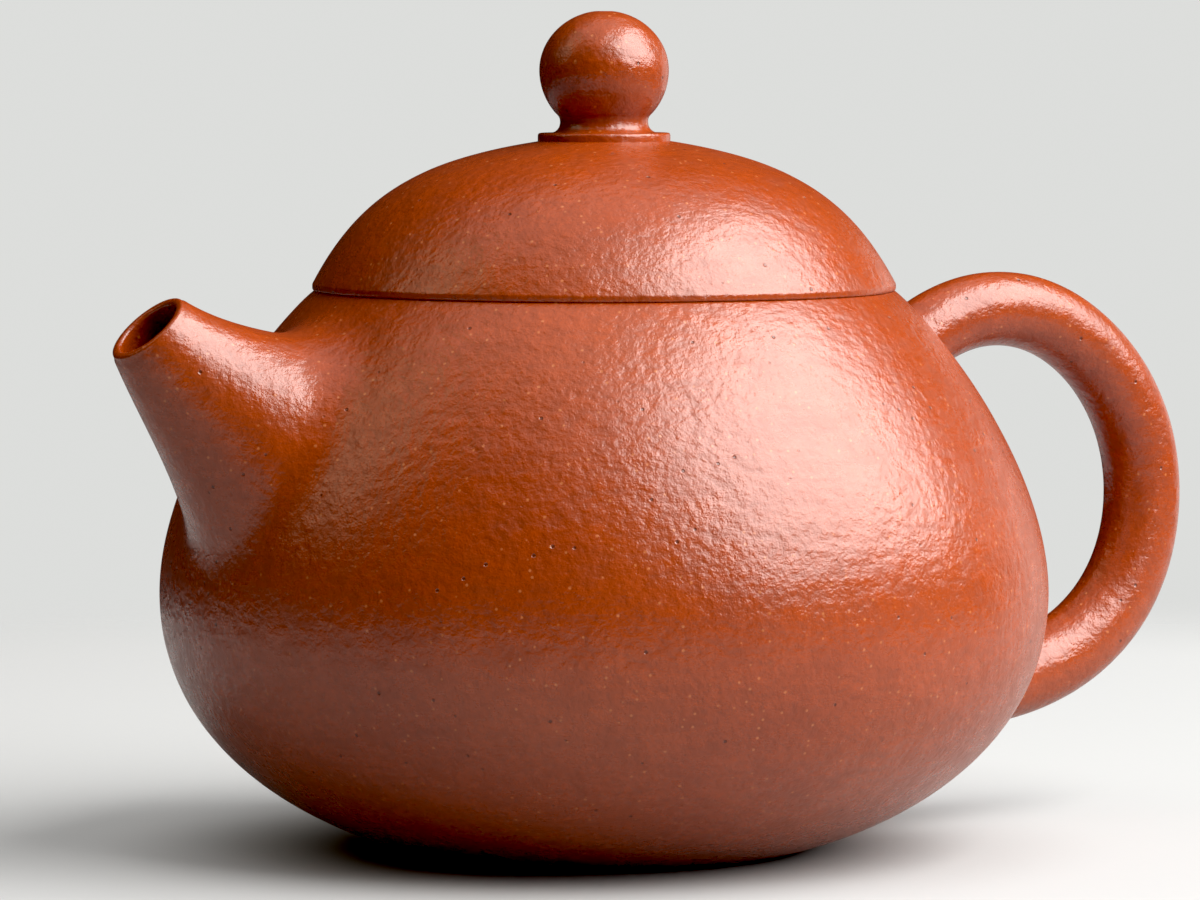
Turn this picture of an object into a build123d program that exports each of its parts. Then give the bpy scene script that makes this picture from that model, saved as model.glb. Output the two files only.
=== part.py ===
"""Small pear-shaped clay teapot with a domed lid, built up from luted slabs, rings and rolls.

Frame: millimetres, +Z up, origin at the middle of the base on the table. The pot's axis is Z,
the spout points along -X and the handle stands on the +X side, so XZ is the plane of symmetry.
"""
import math
import os

from build123d import *

# ---------------------------------------------------------------- driving dimensions

# Pot body, outside
base_radius = 18.5          # rim that the pot stands on
base_lift_angle = 13.5      # how steeply the belly leaves the table, degrees
base_roundness = 12.3       # how far the belly keeps that slope
belly_radius = 42.0
belly_height = 24.2         # height of the widest place
belly_fullness_below = 13.2
belly_fullness_above = 12.3
mouth_height = 52.7         # flat land that the lid sits on
mouth_radius = 27.3
shoulder_angle = 36.4       # slope of the shoulder where it meets the mouth, degrees
shoulder_roundness = 4.0

# Pot body, inside and between its pieces
wall = 2.8
floor_thickness = 3.2
base_hollow_depth = 0.7     # the pressed-in middle of the base
base_rim_width = 3.0        # width of the flat ring that touches the table
base_disc_radius = 22.0     # outline of the slab let into the bottom of the wall
shoulder_seam_drop = 12.7   # seam of the shoulder below the mouth land
mouth_ring_thickness = 1.6
mouth_bore_radius = 22.4
edge_softness = 0.3         # rounding on every edge at the seam of the lid

# Lid
lid_rim_overhang = 0.2      # how far the lid's rim stands out past the mouth
lid_rim_height = 0.6        # upright band at the edge of the dome
lid_dome_height = 14.0      # from the land to the collar
lid_dome_thickness = 2.6
lid_rim_angle = 27.9        # lean of the dome above its rim, degrees from upright
lid_rim_roundness = 10.0
lid_crown_angle = 9.3       # slope of the dome beside the collar, degrees
lid_crown_roundness = 10.8
lid_seat_thickness = 1.8
lid_flange_clearance = 0.3  # between the flange and the mouth bore, on the radius
lid_flange_thickness = 2.4
lid_flange_depth = 7.0
lid_flange_softness = 0.5
air_hole_radius = 0.6

# Knob
collar_radius = 6.25
collar_thickness = 0.8
collar_softness = 0.3
knob_neck_radius = 4.15
knob_neck_flare = 0.95      # hollow fillet between the neck and the collar
knob_radius = 6.1
knob_widest_rise = 5.9      # widest place above the collar
knob_crown_height = 5.6     # top above the widest place
knob_throat_softness = 0.8
air_hole_softness = 0.2

# Spout
spout_reach = 5.85          # mouth centre past the belly
spout_drop = 2.4            # mouth centre below the mouth land
spout_lip_radius = 4.05
spout_bore_radius = 3.15    # opening at the lip
spout_mouth_angle = 48.5    # the way the mouth faces, degrees above level
spout_root_depth = 12.0     # root centre inside the belly radius
spout_root_top_drop = 5.15  # top edge of the root below the mouth land
spout_root_foot_rise = 1.3  # lower edge of the root above the widest place of the belly
spout_root_angle = 44.0     # the way the root faces, degrees above level
spout_flare = 0.41          # share of the taper that gathers towards the root
spout_blend = 8.0
spout_sections = 5
spout_lip_softness = 0.35
port_radius = 8.2           # channel where it enters the pot

# Strainer
strainer_lap = 2.4          # rim of its dome past the channel where it enters the pot
strainer_thickness = 1.2
strainer_hole_radius = 0.9
strainer_rings = ((1, 0.0), (6, 30.0), (11, 58.0))  # holes in a ring, its angle from the dome's axis

# Handle: two curved spans that meet upright at its widest place
handle_reach = 19.7         # middle line past the belly
handle_widest_height = 31.3
handle_top_drop = 7.9       # top root below the mouth land
handle_top_depth = 2.0      # top root inside the pot's outside
handle_top_angle = 42.7     # rise of the middle line there, degrees
handle_top_pull = 17.8      # how far it keeps that direction
handle_pull_above = 14.3    # how far it stays upright above its widest place
handle_pull_below = 11.2
handle_foot_drop = 11.1     # bottom root below the widest place of the belly
handle_foot_depth = 2.4
handle_foot_angle = -4.5
handle_foot_pull = 16.1
handle_root_length = 6.0    # straight end let into the pot before it is trimmed
handle_steps = 4            # sections along each span
handle_slope_step = 0.001   # share of a span over which its slope is read
handle_top_diameter = 6.9
handle_foot_diameter = 8.1
handle_blend = 2.4

# Working values
halvings = 40               # steps of a search by halving
edge_match = 0.01           # how closely an edge lies to the place it is picked by
surface_match = 0.02        # the same for an edge on the pot's surface


# ---------------------------------------------------------------- outline of the pot

def bezier_at(points, t):
    """Point (radius, height) at t along a cubic Bezier curve."""
    weights = ((1 - t) ** 3, 3 * t * (1 - t) ** 2, 3 * t * t * (1 - t), t ** 3)
    radius = sum(w * p[0] for w, p in zip(weights, points))
    height = sum(w * p[1] for w, p in zip(weights, points))
    return radius, height


def body_curves(inset=0.0, bottom=0.0):
    """Control points of the lower and the upper outline, moved inwards by inset."""
    lift = math.radians(base_lift_angle)
    slope = math.radians(shoulder_angle)
    shrink = (belly_radius - inset) / belly_radius
    foot = (base_radius - inset, bottom)
    lower = [
        foot,
        (foot[0] + base_roundness * math.cos(lift), foot[1] + base_roundness * math.sin(lift)),
        (belly_radius - inset, belly_height - belly_fullness_below * shrink),
        (belly_radius - inset, belly_height),
    ]
    top_radius = mouth_radius - inset * math.sin(slope)
    top_height = mouth_height - inset * math.cos(slope)
    upper = [
        (belly_radius - inset, belly_height),
        (belly_radius - inset, belly_height + belly_fullness_above * shrink),
        (top_radius + shoulder_roundness * math.cos(slope),
         top_height - shoulder_roundness * math.sin(slope)),
        (top_radius, top_height),
    ]
    return lower, upper


def body_radius_at(height):
    """Outer radius of the pot at a height, by halving the span of its outline."""
    lower, upper = body_curves()
    points = lower if height < belly_height else upper
    low, high = 0.0, 1.0
    for _ in range(halvings):
        middle = (low + high) / 2
        if bezier_at(points, middle)[1] < height:
            low = middle
        else:
            high = middle
    return bezier_at(points, low)[0]


def revolve_outline(edges):
    """Solid of revolution about Z from edges that close an outline in the XZ plane.

    It is turned a quarter, so that its seam stays clear of the handle and the spout.
    """
    return Rot(0, 0, 90) * revolve(make_face(Wire(edges)), Axis.Z, 360)


def section_line(*points):
    """Straight edges in the XZ plane through points given as (radius, height)."""
    places = [Vector(radius, 0, height) for radius, height in points]
    return [Line(a, b).edge() for a, b in zip(places, places[1:])]


def section_bezier(points):
    """Cubic Bezier edge in the XZ plane through control points given as (radius, height)."""
    return Bezier(*[Vector(radius, 0, height) for radius, height in points]).edge()


def body_solid(inset=0.0, bottom=0.0):
    """Solid pot bounded by its outline, moved inwards by inset and standing on bottom."""
    lower, upper = body_curves(inset, bottom)
    edges = [section_bezier(lower), section_bezier(upper)]
    edges += section_line(upper[-1], (0, upper[-1][1]), (0, bottom), lower[0])
    return revolve_outline(edges)


def disc(radius, low, high):
    """Upright cylinder about Z between two heights."""
    return Pos(0, 0, low) * Cylinder(radius, high - low, align=(Align.CENTER, Align.CENTER, Align.MIN))


def ring(outer, inner, low, high):
    """Upright tube about Z between two heights."""
    return disc(outer, low, high) - disc(inner, low, high)


def round_edges_at(shape, height, amount, radius):
    """Round the circular edges about Z that lie at a height and have a given radius."""
    chosen = [
        edge for edge in shape.edges().filter_by(GeomType.CIRCLE)
        if abs(edge.center(CenterOf.BOUNDING_BOX).Z - height) < edge_match
        and abs(edge.radius - radius) < edge_match
    ]
    return fillet(chosen, amount)


# ---------------------------------------------------------------- pot

mouth_ring_bottom = mouth_height - mouth_ring_thickness
shoulder_seam_height = mouth_height - shoulder_seam_drop
beyond_belly = 2 * belly_radius     # radius that holds every outline of the pot
outer_body = body_solid()
inner_body = body_solid(wall, floor_thickness)
body_shell = outer_body - inner_body


def make_base_disc():
    """Slab that closes the bottom, hollowed a little so that its rim alone stands."""
    slab = outer_body & disc(base_disc_radius, 0, floor_thickness)
    hollow_radius = base_radius - base_rim_width
    # the hollow is a shallow cap of a sphere through its rim and its middle
    cap_radius = (hollow_radius ** 2 + base_hollow_depth ** 2) / (2 * base_hollow_depth)
    return slab - Pos(0, 0, base_hollow_depth - cap_radius) * Sphere(cap_radius)


def make_body_wall():
    """Belly from the base slab up to the seam of the shoulder, with the spout's port."""
    strip = body_shell & disc(beyond_belly, 0, shoulder_seam_height)
    return strip - disc(base_disc_radius, 0, floor_thickness) - spout_channel()


def make_shoulder_ring():
    """Upper slab, from the seam to the underside of the mouth ring."""
    strip = body_shell & disc(beyond_belly, shoulder_seam_height, mouth_ring_bottom)
    return strip - disc(mouth_bore_radius, shoulder_seam_height, mouth_ring_bottom) - spout_channel()


def make_mouth_ring():
    """Flat ring with the land for the lid, its outside carrying on the shoulder."""
    outside = outer_body & disc(beyond_belly, mouth_ring_bottom, mouth_height)
    shape = outside - disc(mouth_bore_radius, mouth_ring_bottom, mouth_height)
    shape = round_edges_at(shape, mouth_height, edge_softness, mouth_radius)
    return round_edges_at(shape, mouth_height, edge_softness, mouth_bore_radius)


def on_body_surface(edge):
    """Whether an edge runs along the pot's outer surface."""
    for share in (0.2, 0.5, 0.8):
        place = edge.position_at(share)
        if not 0 < place.Z < mouth_height:
            return False
        if abs(math.hypot(place.X, place.Y) - body_radius_at(place.Z)) > surface_match:
            return False
    return True


def blend_onto_body(shape, radius):
    """The part of a limb outside the pot, its root faired onto the pot's surface."""
    joined = outer_body + shape
    outline = {GeomType.BEZIER, GeomType.CIRCLE, GeomType.LINE}
    root = [edge for edge in joined.edges() if edge.geom_type not in outline and on_body_surface(edge)]
    return fillet(root, radius) - outer_body


# ---------------------------------------------------------------- spout and strainer

spout_root_top = mouth_height - spout_root_top_drop
spout_root_foot = belly_height + spout_root_foot_rise
spout_root_height = (spout_root_top + spout_root_foot) / 2
spout_root_radius = (spout_root_top - spout_root_foot) / 2 / math.cos(math.radians(spout_root_angle))


def spout_middle(share):
    """Place (x, z) on the spout's middle line and its outward slope, lip at 0 and root at 1."""
    lip_angle = math.radians(spout_mouth_angle)
    root_angle = math.radians(spout_root_angle)
    lip = (-(belly_radius + spout_reach), mouth_height - spout_drop)
    root = (-(belly_radius - spout_root_depth), spout_root_height)
    pull = math.dist(lip, root) / 3
    middle = [
        lip,
        (lip[0] + pull * math.cos(lip_angle), lip[1] - pull * math.sin(lip_angle)),
        (root[0] - pull * math.cos(root_angle), root[1] + pull * math.sin(root_angle)),
        root,
    ]
    x, z = bezier_at(middle, share)
    return x, z, lip_angle + (root_angle - lip_angle) * share


def spout_plane(share):
    """Plane square to the spout's middle line, facing out of the pot."""
    x, z, angle = spout_middle(share)
    return Plane(origin=(x, 0, z), x_dir=(0, 1, 0), z_dir=(-math.cos(angle), 0, math.sin(angle)))


def spout_shares():
    """Shares of the middle line at which the spout's sections stand."""
    return [step / spout_sections for step in range(spout_sections + 1)]


def spout_outside():
    """Solid beak from its lip to well inside the pot, flaring towards the root."""
    growth = spout_root_radius - spout_lip_radius
    sections = []
    for share in spout_shares():
        taper = (1 - spout_flare) * share + spout_flare * share ** 2
        sections.append(spout_plane(share) * Circle(spout_lip_radius + growth * taper))
    return loft(sections)


def channel_radius_at(share):
    """Radius of the spout's bore at a share of its middle line."""
    return spout_bore_radius + (port_radius - spout_bore_radius) * share


def spout_channel():
    """Solid that fills the spout's bore, through the port and into the pot."""
    return loft([spout_plane(share) * Circle(channel_radius_at(share)) for share in spout_shares()])


def make_spout():
    """Hollow beak with a rounded lip, faired onto the shoulder and the belly."""
    beak = blend_onto_body(spout_outside(), spout_blend) - spout_channel()
    mouth = spout_plane(0)
    rims = []
    for edge in beak.edges():
        heights = [(edge.position_at(share) - mouth.origin).dot(mouth.z_dir) for share in (0, 0.5)]
        if max(map(abs, heights)) < edge_match:
            rims.append(edge)
    return fillet(rims, spout_lip_softness)


def port_share():
    """Share of the spout's middle line at which it meets the inside of the wall."""
    low, high = 0.0, 1.0
    for _ in range(halvings):
        share = (low + high) / 2
        x, z, _slope = spout_middle(share)
        if -x > body_radius_at(z) - wall:
            low = share
        else:
            high = share
    return low


def make_strainer():
    """Pierced dome that closes the port on the inside of the wall."""
    port = spout_plane(port_share())
    strainer_radius = channel_radius_at(port_share()) + strainer_lap
    drill_length = 4 * strainer_thickness   # clear of the dome on both sides
    inwards = Plane(origin=port.origin, x_dir=port.x_dir, z_dir=-port.z_dir)
    dome = inwards * (Sphere(strainer_radius) - Sphere(strainer_radius - strainer_thickness))
    dome = dome & inner_body
    for count, angle in strainer_rings:
        for index in range(count):
            drill = Rot(0, 0, 360 * index / count) * Rot(0, angle, 0) * Pos(0, 0, strainer_radius)
            dome -= inwards * drill * Cylinder(strainer_hole_radius, drill_length)
    return dome


# ---------------------------------------------------------------- handle

def handle_spans():
    """Control points (x, height) of the handle's middle line, above and below its widest place."""
    rise = math.radians(handle_top_angle)
    fall = math.radians(handle_foot_angle)
    top = mouth_height - handle_top_drop
    foot = belly_height - handle_foot_drop
    start = (body_radius_at(top) - handle_top_depth, top)
    end = (body_radius_at(foot) - handle_foot_depth, foot)
    widest = (belly_radius + handle_reach, handle_widest_height)
    upper = [
        start,
        (start[0] + handle_top_pull * math.cos(rise), start[1] + handle_top_pull * math.sin(rise)),
        (widest[0], widest[1] + handle_pull_above),
        widest,
    ]
    lower = [
        widest,
        (widest[0], widest[1] - handle_pull_below),
        (end[0] + handle_foot_pull * math.cos(fall), end[1] + handle_foot_pull * math.sin(fall)),
        end,
    ]
    return upper, lower


def handle_places():
    """Places (x, height) and slopes along the middle line, its straight ends let into the pot."""
    places = []
    for span in handle_spans():
        for step in range(handle_steps + 1):
            share = step / handle_steps
            ahead = bezier_at(span, share + handle_slope_step)
            behind = bezier_at(span, share - handle_slope_step)
            slope = math.atan2(ahead[1] - behind[1], ahead[0] - behind[0])
            places.append((*bezier_at(span, share), slope))
    del places[handle_steps]    # the two spans share their meeting place
    for index, way in ((0, -1), (-1, 1)):
        x, height, slope = places[index]
        x += way * handle_root_length * math.cos(slope)
        height += way * handle_root_length * math.sin(slope)
        places.insert(0 if index == 0 else len(places), (x, height, slope))
    return places


def make_handle():
    """Round bow of slowly growing thickness, faired onto the pot at both roots."""
    places = handle_places()
    sections = []
    for index, (x, height, slope) in enumerate(places):
        share = index / (len(places) - 1)
        diameter = handle_top_diameter + (handle_foot_diameter - handle_top_diameter) * share
        plane = Plane(origin=(x, 0, height), x_dir=(0, 1, 0), z_dir=(math.cos(slope), 0, math.sin(slope)))
        sections.append(plane * Circle(diameter / 2))
    return blend_onto_body(loft(sections), handle_blend)


# ---------------------------------------------------------------- lid

lid_radius = mouth_radius + lid_rim_overhang
lid_top = mouth_height + lid_dome_height
lid_flange_radius = mouth_bore_radius - lid_flange_clearance
lid_seat_top = mouth_height + lid_seat_thickness


def lid_curve(inset=0.0):
    """Control points of the dome's outline, moved inwards by inset."""
    lean = math.radians(lid_rim_angle)
    slope = math.radians(lid_crown_angle)
    rim = (lid_radius - inset * math.cos(lean), mouth_height + lid_rim_height - inset * math.sin(lean))
    crown = (collar_radius, lid_top - inset)
    return [
        rim,
        (rim[0] - lid_rim_roundness * math.sin(lean), rim[1] + lid_rim_roundness * math.cos(lean)),
        (crown[0] + lid_crown_roundness * math.cos(slope), crown[1] - lid_crown_roundness * math.sin(slope)),
        crown,
    ]


def lid_solid(inset=0.0):
    """Solid dome bounded by its outline, moved inwards by inset, flat on the land."""
    curve = lid_curve(inset)
    rim, crown = curve[0], curve[-1]
    foot = min(mouth_height, rim[1])    # an inset rim lies below the land
    corners = [crown, (0, crown[1]), (0, foot), (rim[0], foot)]
    if rim[1] > foot:
        corners.append(rim)
    return revolve_outline([section_bezier(curve), *section_line(*corners)])


def make_lid_dome():
    """Domed slab with an upright rim, pierced by the air hole."""
    dome = lid_solid() - lid_solid(lid_dome_thickness) - air_hole
    return round_edges_at(dome, mouth_height, edge_softness, lid_radius)


def make_lid_seat_ring():
    """Flat ring under the dome's rim that rests on the land of the mouth."""
    inside = lid_solid(lid_dome_thickness) & disc(lid_radius, mouth_height, lid_seat_top)
    return inside - disc(lid_flange_radius - lid_flange_thickness, mouth_height, lid_seat_top)


def make_lid_flange():
    """Turned-down ring that enters the mouth bore and keeps the lid in place."""
    bottom = mouth_height - lid_flange_depth
    inner = lid_flange_radius - lid_flange_thickness
    shape = ring(lid_flange_radius, inner, bottom, mouth_height)
    shape = round_edges_at(shape, bottom, lid_flange_softness, lid_flange_radius)
    return round_edges_at(shape, bottom, lid_flange_softness, inner)


# ---------------------------------------------------------------- knob

collar_top = lid_top + collar_thickness
knob_widest = collar_top + knob_widest_rise
knob_top = knob_widest + knob_crown_height
air_hole = disc(air_hole_radius, mouth_height, knob_top + air_hole_radius)
quarter_bend = 0.5523       # pull that makes a cubic Bezier a quarter of an ellipse


def make_knob_collar():
    """Thin round disc luted to the crown of the dome."""
    shape = disc(collar_radius, lid_top, collar_top)
    return round_edges_at(shape, collar_top, collar_softness, collar_radius) - air_hole


def edges_around(shape, radius, low, high):
    """Edges that keep a radius about Z, all of their length between two heights."""
    chosen = []
    for edge in shape.edges():
        places = [edge.position_at(share) for share in (0, 0.3, 0.6, 0.9)]
        if all(abs(math.hypot(p.X, p.Y) - radius) < edge_match and low < p.Z < high for p in places):
            chosen.append(edge)
    return chosen


def make_knob():
    """Flattened ball on a short neck, with the air hole down its middle."""
    throat = knob_widest - math.sqrt(knob_radius ** 2 - knob_neck_radius ** 2)
    half = (math.asin(knob_neck_radius / knob_radius) + math.pi / 2) / 2
    flare_top = collar_top + knob_neck_flare
    flare_middle = knob_neck_flare * (1 - math.sqrt(0.5))
    edges = [
        ThreePointArc(
            (knob_neck_radius + knob_neck_flare, 0, collar_top),
            (knob_neck_radius + flare_middle, 0, collar_top + flare_middle),
            (knob_neck_radius, 0, flare_top),
        ).edge(),
        *section_line((knob_neck_radius, flare_top), (knob_neck_radius, throat)),
        ThreePointArc(
            (knob_neck_radius, 0, throat),
            (knob_radius * math.sin(half), 0, knob_widest - knob_radius * math.cos(half)),
            (knob_radius, 0, knob_widest),
        ).edge(),
        section_bezier([
            (knob_radius, knob_widest),
            (knob_radius, knob_widest + quarter_bend * knob_crown_height),
            (quarter_bend * knob_radius, knob_top),
            (0, knob_top),
        ]),
        *section_line((0, knob_top), (0, collar_top), (knob_neck_radius + knob_neck_flare, collar_top)),
    ]
    ball = round_edges_at(revolve_outline(edges), throat, knob_throat_softness, knob_neck_radius)
    ball -= air_hole
    return fillet(edges_around(ball, air_hole_radius, knob_widest, knob_top), air_hole_softness)


# ---------------------------------------------------------------- files

makers = {
    "base_disc": make_base_disc,
    "body_wall": make_body_wall,
    "shoulder_ring": make_shoulder_ring,
    "mouth_ring": make_mouth_ring,
    "spout": make_spout,
    "strainer": make_strainer,
    "handle": make_handle,
    "lid_dome": make_lid_dome,
    "lid_seat_ring": make_lid_seat_ring,
    "lid_flange": make_lid_flange,
    "knob_collar": make_knob_collar,
    "knob": make_knob,
}

os.makedirs("parts", exist_ok=True)
for node, make in makers.items():
    shape = make()
    export_step(shape, f"parts/{node}.step")
    print(node, round(shape.volume, 1), "mm3")
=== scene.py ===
import logging
import math
from dataclasses import dataclass, field
from enum import Enum
from typing import Callable

import bpy
import numpy as np
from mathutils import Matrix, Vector, noise


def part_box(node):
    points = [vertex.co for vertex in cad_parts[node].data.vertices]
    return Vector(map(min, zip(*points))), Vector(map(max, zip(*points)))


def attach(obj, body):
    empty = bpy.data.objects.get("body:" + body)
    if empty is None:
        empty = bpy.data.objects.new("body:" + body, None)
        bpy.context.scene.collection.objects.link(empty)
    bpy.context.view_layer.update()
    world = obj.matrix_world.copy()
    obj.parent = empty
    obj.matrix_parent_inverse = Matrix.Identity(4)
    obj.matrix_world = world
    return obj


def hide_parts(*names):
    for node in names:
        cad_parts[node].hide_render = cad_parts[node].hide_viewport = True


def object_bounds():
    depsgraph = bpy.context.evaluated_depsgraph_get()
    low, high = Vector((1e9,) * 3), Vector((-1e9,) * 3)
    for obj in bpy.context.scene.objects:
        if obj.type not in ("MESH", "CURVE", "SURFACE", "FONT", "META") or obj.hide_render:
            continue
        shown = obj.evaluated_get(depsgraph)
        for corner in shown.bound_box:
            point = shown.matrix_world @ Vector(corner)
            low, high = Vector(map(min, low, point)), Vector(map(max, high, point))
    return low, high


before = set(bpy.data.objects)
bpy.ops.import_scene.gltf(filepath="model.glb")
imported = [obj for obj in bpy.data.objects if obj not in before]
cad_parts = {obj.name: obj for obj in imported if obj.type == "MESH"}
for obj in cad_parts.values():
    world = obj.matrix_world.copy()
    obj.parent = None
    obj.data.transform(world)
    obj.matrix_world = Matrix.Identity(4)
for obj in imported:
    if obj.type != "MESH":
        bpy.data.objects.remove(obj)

LOG = logging.getLogger("teapot")
MM = 0.001                      # one millimetre in metres
CAD_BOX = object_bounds()           # the whole object as packed, before any piece is made
ON_AXIS = 1e-9                  # a radius below this is a point on the axis
HALVINGS = 40                   # steps of a search by halving

Point = tuple[float, float]     # (radius, height) on an outline, or (x, height) on a middle line
Colour = tuple[float, float, float]


class Body(Enum):
    """The two moving bodies of the teapot."""

    POT = "pot"
    LID = "lid"


class Slot(Enum):
    """Material slots that the pieces take their finish from."""

    POT = "pot_clay"
    INSIDE = "inner_clay"
    LID = "lid_clay"


# ---------------------------------------------------------------- outlines and meshes


def cubic_at(points: list[np.ndarray], t: np.ndarray) -> np.ndarray:
    """Places along a cubic Bezier curve.

    Args:
        points: its four control points, or four arrays of them.
        t: shares along it, shaped to multiply the points.

    Returns:
        The places.
    """
    return ((1 - t) ** 3 * points[0] + 3 * t * (1 - t) ** 2 * points[1]
            + 3 * t * t * (1 - t) * points[2] + t ** 3 * points[3])


def unit(vectors: np.ndarray) -> np.ndarray:
    """Vectors, one per row, each made one long."""
    return vectors / np.linalg.norm(vectors, axis=1)[:, None]


def cubic(points: list[Point], count: int) -> list[Point]:
    """Sample a cubic Bezier curve.

    Args:
        points: its four control points.
        count: how many stretches it is divided into.

    Returns:
        Its count + 1 places, both ends included.
    """
    shares = np.linspace(0.0, 1.0, count + 1)[:, None]
    return [tuple(place) for place in cubic_at(np.array(points), shares)]


def soften(before: Point, corner: Point, after: Point, radius: float, count: int = 5) -> list[Point]:
    """Round one corner of an outline.

    Args:
        before: a place on the way into the corner.
        corner: the sharp corner.
        after: a place on the way out of it.
        radius: radius of the rounding.
        count: how many stretches the rounding has.

    Returns:
        The places that take the corner's place.
    """
    middle = np.array(corner)
    back = (np.array(before) - middle) / np.linalg.norm(np.array(before) - middle)
    onward = (np.array(after) - middle) / np.linalg.norm(np.array(after) - middle)
    half = math.acos(float(np.clip(back @ onward, -1.0, 1.0))) / 2
    reach = radius / math.tan(half)
    share = np.linspace(0.0, 1.0, count + 1)[:, None]
    start, end = middle + back * reach, middle + onward * reach
    return [tuple(p) for p in (1 - share) ** 2 * start + 2 * share * (1 - share) * middle + share ** 2 * end]


def arc(centre: Point, radii: Point, start: float, end: float, count: int) -> list[Point]:
    """Sample an arc of an ellipse.

    Args:
        centre: its middle.
        radii: its half width and half height.
        start: first angle in degrees, from the outward level.
        end: last angle in degrees.
        count: how many stretches it is divided into.

    Returns:
        Its count + 1 places.
    """
    angles = np.radians(np.linspace(start, end, count + 1))
    return [(centre[0] + radii[0] * math.cos(a), centre[1] + radii[1] * math.sin(a)) for a in angles]


def around(count: int) -> np.ndarray:
    """Angles that divide a full turn evenly."""
    return np.linspace(0.0, 2 * math.pi, count, endpoint=False)


@dataclass(frozen=True)
class HandWork:
    """The slight unevenness that scrapers and fingers leave, drawn inwards towards the base's middle."""

    depth: float = 0.0032
    broad: float = 62.0
    close: float = 210.0
    close_share: float = 0.28
    middle: float = 0.5
    swing: float = 0.42

    def apply(self, places: np.ndarray) -> np.ndarray:
        """Move points by the unevenness, which depends on their place alone.

        Args:
            places: points in the row frame, one per row.

        Returns:
            The moved points.
        """
        inwards = np.empty(len(places))
        for index, place in enumerate(places):
            here = Vector(place)
            wave = noise.noise(here * self.broad) + self.close_share * noise.noise(here * self.close)
            inwards[index] = min(1.0, max(0.0, self.middle + self.swing * wave))
        return places * (1.0 - self.depth * inwards)[:, None]


class ClayMesh:
    """A mesh put together from rows of points, then smoothed and worked by hand."""

    def __init__(self, name: str, work: HandWork | None = HandWork()) -> None:
        """Start an empty mesh.

        Args:
            name: the piece's name.
            work: the unevenness to give it, or None to leave it true.
        """
        self.name = name
        self.work = work
        self.points: list[tuple[float, float, float]] = []
        self.faces: list[tuple[int, ...]] = []

    def row(self, places: np.ndarray) -> list[int]:
        """Add a row of points and return their numbers."""
        first = len(self.points)
        self.points.extend(map(tuple, places))
        return list(range(first, first + len(places)))

    def bridge(self, near: list[int], far: list[int]) -> None:
        """Join two closed rows, either of which may be a single point.

        Args:
            near: point numbers of the first row.
            far: point numbers of the next row.
        """
        count = max(len(near), len(far))
        for k in range(count):
            after = (k + 1) % count
            if len(near) == 1:
                self.faces.append((near[0], far[after], far[k]))
            elif len(far) == 1:
                self.faces.append((near[k], near[after], far[0]))
            else:
                self.faces.append((near[k], near[after], far[after], far[k]))

    def bridge_all(self, rows: list[list[int]], closed: bool = False) -> None:
        """Join a run of rows, and the last to the first if it is closed."""
        for near, far in zip(rows, rows[1:] + rows[:1] if closed else rows[1:]):
            self.bridge(near, far)

    def cap(self, rows: list[list[int]], inset: float = 0.0) -> list[list[int]]:
        """Close both ends of a run of rows with a point in the middle of each.

        Args:
            rows: the rows in order.
            inset: how far the points stand towards -X from the middles.

        Returns:
            The rows with the two points before and after them.
        """
        ends = []
        for end in (rows[0], rows[-1]):
            centre = np.mean([self.points[k] for k in end], axis=0)
            centre[0] -= inset
            ends.append(self.row(centre[None, :]))
        return [ends[0], *rows, ends[1]]

    def turn(self, outline: list[Point], segments: int, closed: bool) -> None:
        """Throw an outline round the pot's axis.

        Args:
            outline: (radius, height) places; a radius of nothing makes a single point.
            segments: how many places stand in a full turn.
            closed: whether the outline's last place joins its first.
        """
        angles = around(segments)
        across, along = np.cos(angles), np.sin(angles)
        rows = []
        for radius, height in outline:
            if radius < ON_AXIS:
                rows.append(self.row(np.array([[0.0, 0.0, height]])))
            else:
                rows.append(self.row(np.stack([across * radius, along * radius, np.full(segments, height)], 1)))
        self.bridge_all(rows, closed)

    def finish(self, crease: float = 35.0) -> bpy.types.Object:
        """Turn the rows into an object.

        Args:
            crease: angle in degrees above which an edge stays crisp.

        Returns:
            The new object, linked to the scene.
        """
        places = np.array(self.points)
        if self.work is not None:
            places = self.work.apply(places)
        mesh = bpy.data.meshes.new(self.name)
        mesh.from_pydata(places.tolist(), [], self.faces)
        mesh.validate()
        mesh.update()
        made = bpy.data.objects.new(self.name, mesh)
        bpy.context.scene.collection.objects.link(made)
        face_outwards(mesh)
        mesh.shade_smooth()
        mesh.set_sharp_from_angle(angle=math.radians(crease))
        return made


def face_outwards(mesh: bpy.types.Mesh) -> None:
    """Turn a closed mesh's faces to look outwards.

    Args:
        mesh: the mesh, all of one piece.
    """
    mesh.calc_loop_triangles()
    places = np.array([v.co for v in mesh.vertices])
    corners = places[np.array([t.vertices for t in mesh.loop_triangles])]
    volume = np.einsum("ij,ij->i", corners[:, 0], np.cross(corners[:, 1], corners[:, 2])).sum()
    if volume < 0:
        mesh.flip_normals()


# ---------------------------------------------------------------- finishes


def linear(red: int, green: int, blue: int) -> Colour:
    """A display colour, 0 to 255 in each part, as scene-linear light."""
    parts = [value / 255 for value in (red, green, blue)]
    return tuple(v / 12.92 if v <= 0.04045 else ((v + 0.055) / 1.055) ** 2.4 for v in parts)


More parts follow.
